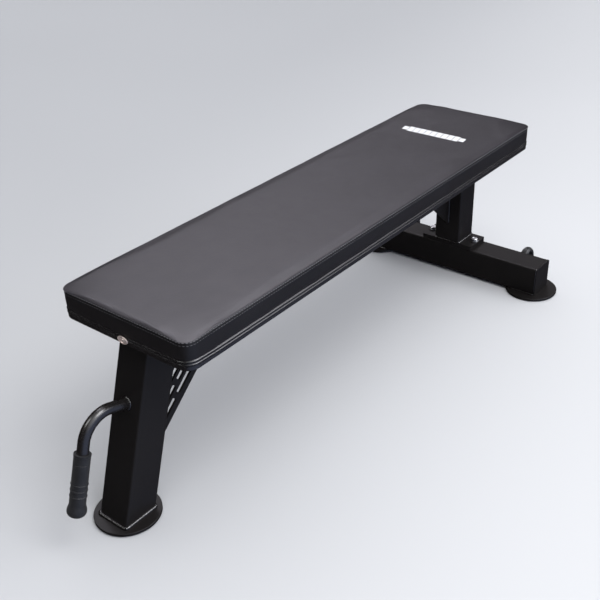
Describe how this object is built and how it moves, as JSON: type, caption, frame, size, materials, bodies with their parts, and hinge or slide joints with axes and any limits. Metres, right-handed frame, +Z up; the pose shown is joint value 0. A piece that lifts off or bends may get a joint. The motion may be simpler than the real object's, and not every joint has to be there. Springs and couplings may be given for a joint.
{
  "type": "flat weight bench",
  "caption": "Flat padded training bench on a welded square-tube frame, with round feet, a lifting handle with a rubber grip and transport wheels behind the cross foot.",
  "frame": {"origin": "middle of the floor footprint, where the bounding box of the bench meets the floor", "axes": "+X along the bench towards the lifting handle, +Y towards the left side, +Z up"},
  "size_m": [1.4674, 0.618, 0.4283],
  "materials": {
    "frame_paint": "satin black powder coat on steel",
    "grip_rubber": "matte moulded rubber sleeve",
    "sole_rubber": "matte rubber sheet",
    "plywood": "raw birch plywood",
    "foam": "dense upholstery foam",
    "vinyl": "fine-grained black synthetic leather with a soft sheen",
    "welt_vinyl": "black synthetic leather trim with two beads",
    "felt": "black non-woven backing sheet",
    "white_print": "white screen print, plain slanting bars",
    "nickel": "polished nickel",
    "zinc": "bright zinc plating",
    "hub_plastic": "moulded black nylon",
    "tyre_rubber": "smooth black rubber tread"
  },
  "bodies": {
    "frame": {"front_post": "frame_paint", "main_beam": "frame_paint", "rear_post": "frame_paint", "rear_flange": "frame_paint", "cross_foot": "frame_paint", "front_gusset": "frame_paint", "rear_gusset": "frame_paint", "handle_tube": "frame_paint", "handle_grip": "grip_rubber", "pad_board": "plywood", "pad_foam": "foam", "pad_cover": "vinyl", "pad_backing": "felt", "pad_welt": "welt_vinyl", "pad_mark": "white_print", "cover_eyelet": "nickel", "pad_bolts": "zinc", "pad_washers": "zinc", "tee_nuts": "zinc", "flange_bolts": "zinc", "flange_washers": "zinc", "weld_nuts": "zinc", "pad_plate_front": "frame_paint", "pad_plate_middle": "frame_paint", "pad_plate_rear": "frame_paint", "foot_disc_front": "frame_paint", "foot_sole_front": "sole_rubber", "foot_disc_rear_left": "frame_paint", "foot_sole_rear_left": "sole_rubber", "foot_disc_rear_right": "frame_paint", "foot_sole_rear_right": "sole_rubber", "cross_end_plate_left": "frame_paint", "wheel_ears_left": "frame_paint", "wheel_axle_left": "zinc", "wheel_nut_left": "zinc", "wheel_washers_left": "zinc", "cross_end_plate_right": "frame_paint", "wheel_ears_right": "frame_paint", "wheel_axle_right": "zinc", "wheel_nut_right": "zinc", "wheel_washers_right": "zinc"},
    "left_wheel": {"wheel_hub_left": "hub_plastic", "wheel_tyre_left": "tyre_rubber"},
    "right_wheel": {"wheel_hub_right": "hub_plastic", "wheel_tyre_right": "tyre_rubber"}
  },
  "joints": [
    {"name": "left_wheel_roll", "type": "hinge", "parent": "frame", "child": "left_wheel", "pos_m": [-0.70374, 0.184, 0.0425], "axis": [0, 1, 0], "continuous": true},
    {"name": "right_wheel_roll", "type": "hinge", "parent": "frame", "child": "right_wheel", "pos_m": [-0.70374, -0.184, 0.0425], "axis": [0, 1, 0], "continuous": true}
  ]
}
